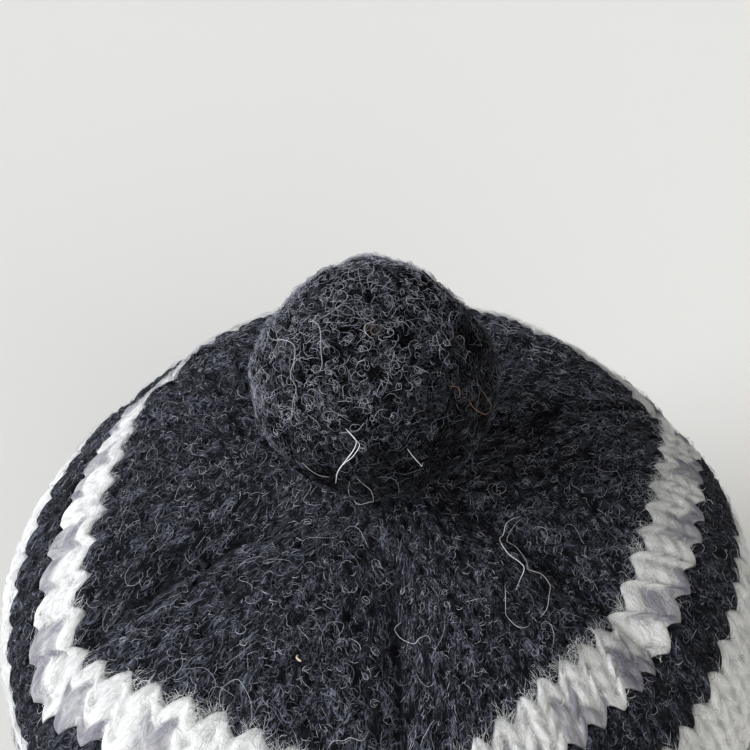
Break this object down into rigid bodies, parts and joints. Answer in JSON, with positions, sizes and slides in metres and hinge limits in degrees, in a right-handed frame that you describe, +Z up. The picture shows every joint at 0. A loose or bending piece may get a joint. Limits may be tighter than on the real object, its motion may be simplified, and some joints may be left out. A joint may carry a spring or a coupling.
{
  "type": "knit cap",
  "caption": "Thick fulled wool cap knitted in rounds of colour, with a dark crown closed by decrease lines, a plain ribbed brim and a stuffed knitted bobble on top.",
  "frame": {"origin": "middle of the rim, on the surface that the cap rests on", "axes": "+Z up through the bobble, -Y towards the front decrease line, +X to the wearer's left"},
  "size_m": [0.1746, 0.1744, 0.1854],
  "materials": {
    "crown_wool": "fulled charcoal wool with loose light fibres",
    "pattern_wool": "fulled off-white wool with lilac-grey stitches",
    "dark_wool": "fulled charcoal wool",
    "white_wool": "fulled off-white wool",
    "grey_wool": "fulled lilac-grey wool",
    "side_wool": "fulled charcoal wool",
    "brim_wool": "ribbed charcoal wool",
    "bobble_wool": "fulled charcoal wool with dense loose fibres"
  },
  "bodies": {
    "root": {"crown": "crown_wool", "pattern_round": "pattern_wool", "dark_round": "dark_wool", "white_round": "white_wool", "grey_round": "grey_wool", "side": "side_wool", "ribbed_brim": "brim_wool", "bobble": "bobble_wool"}
  },
  "joints": []
}
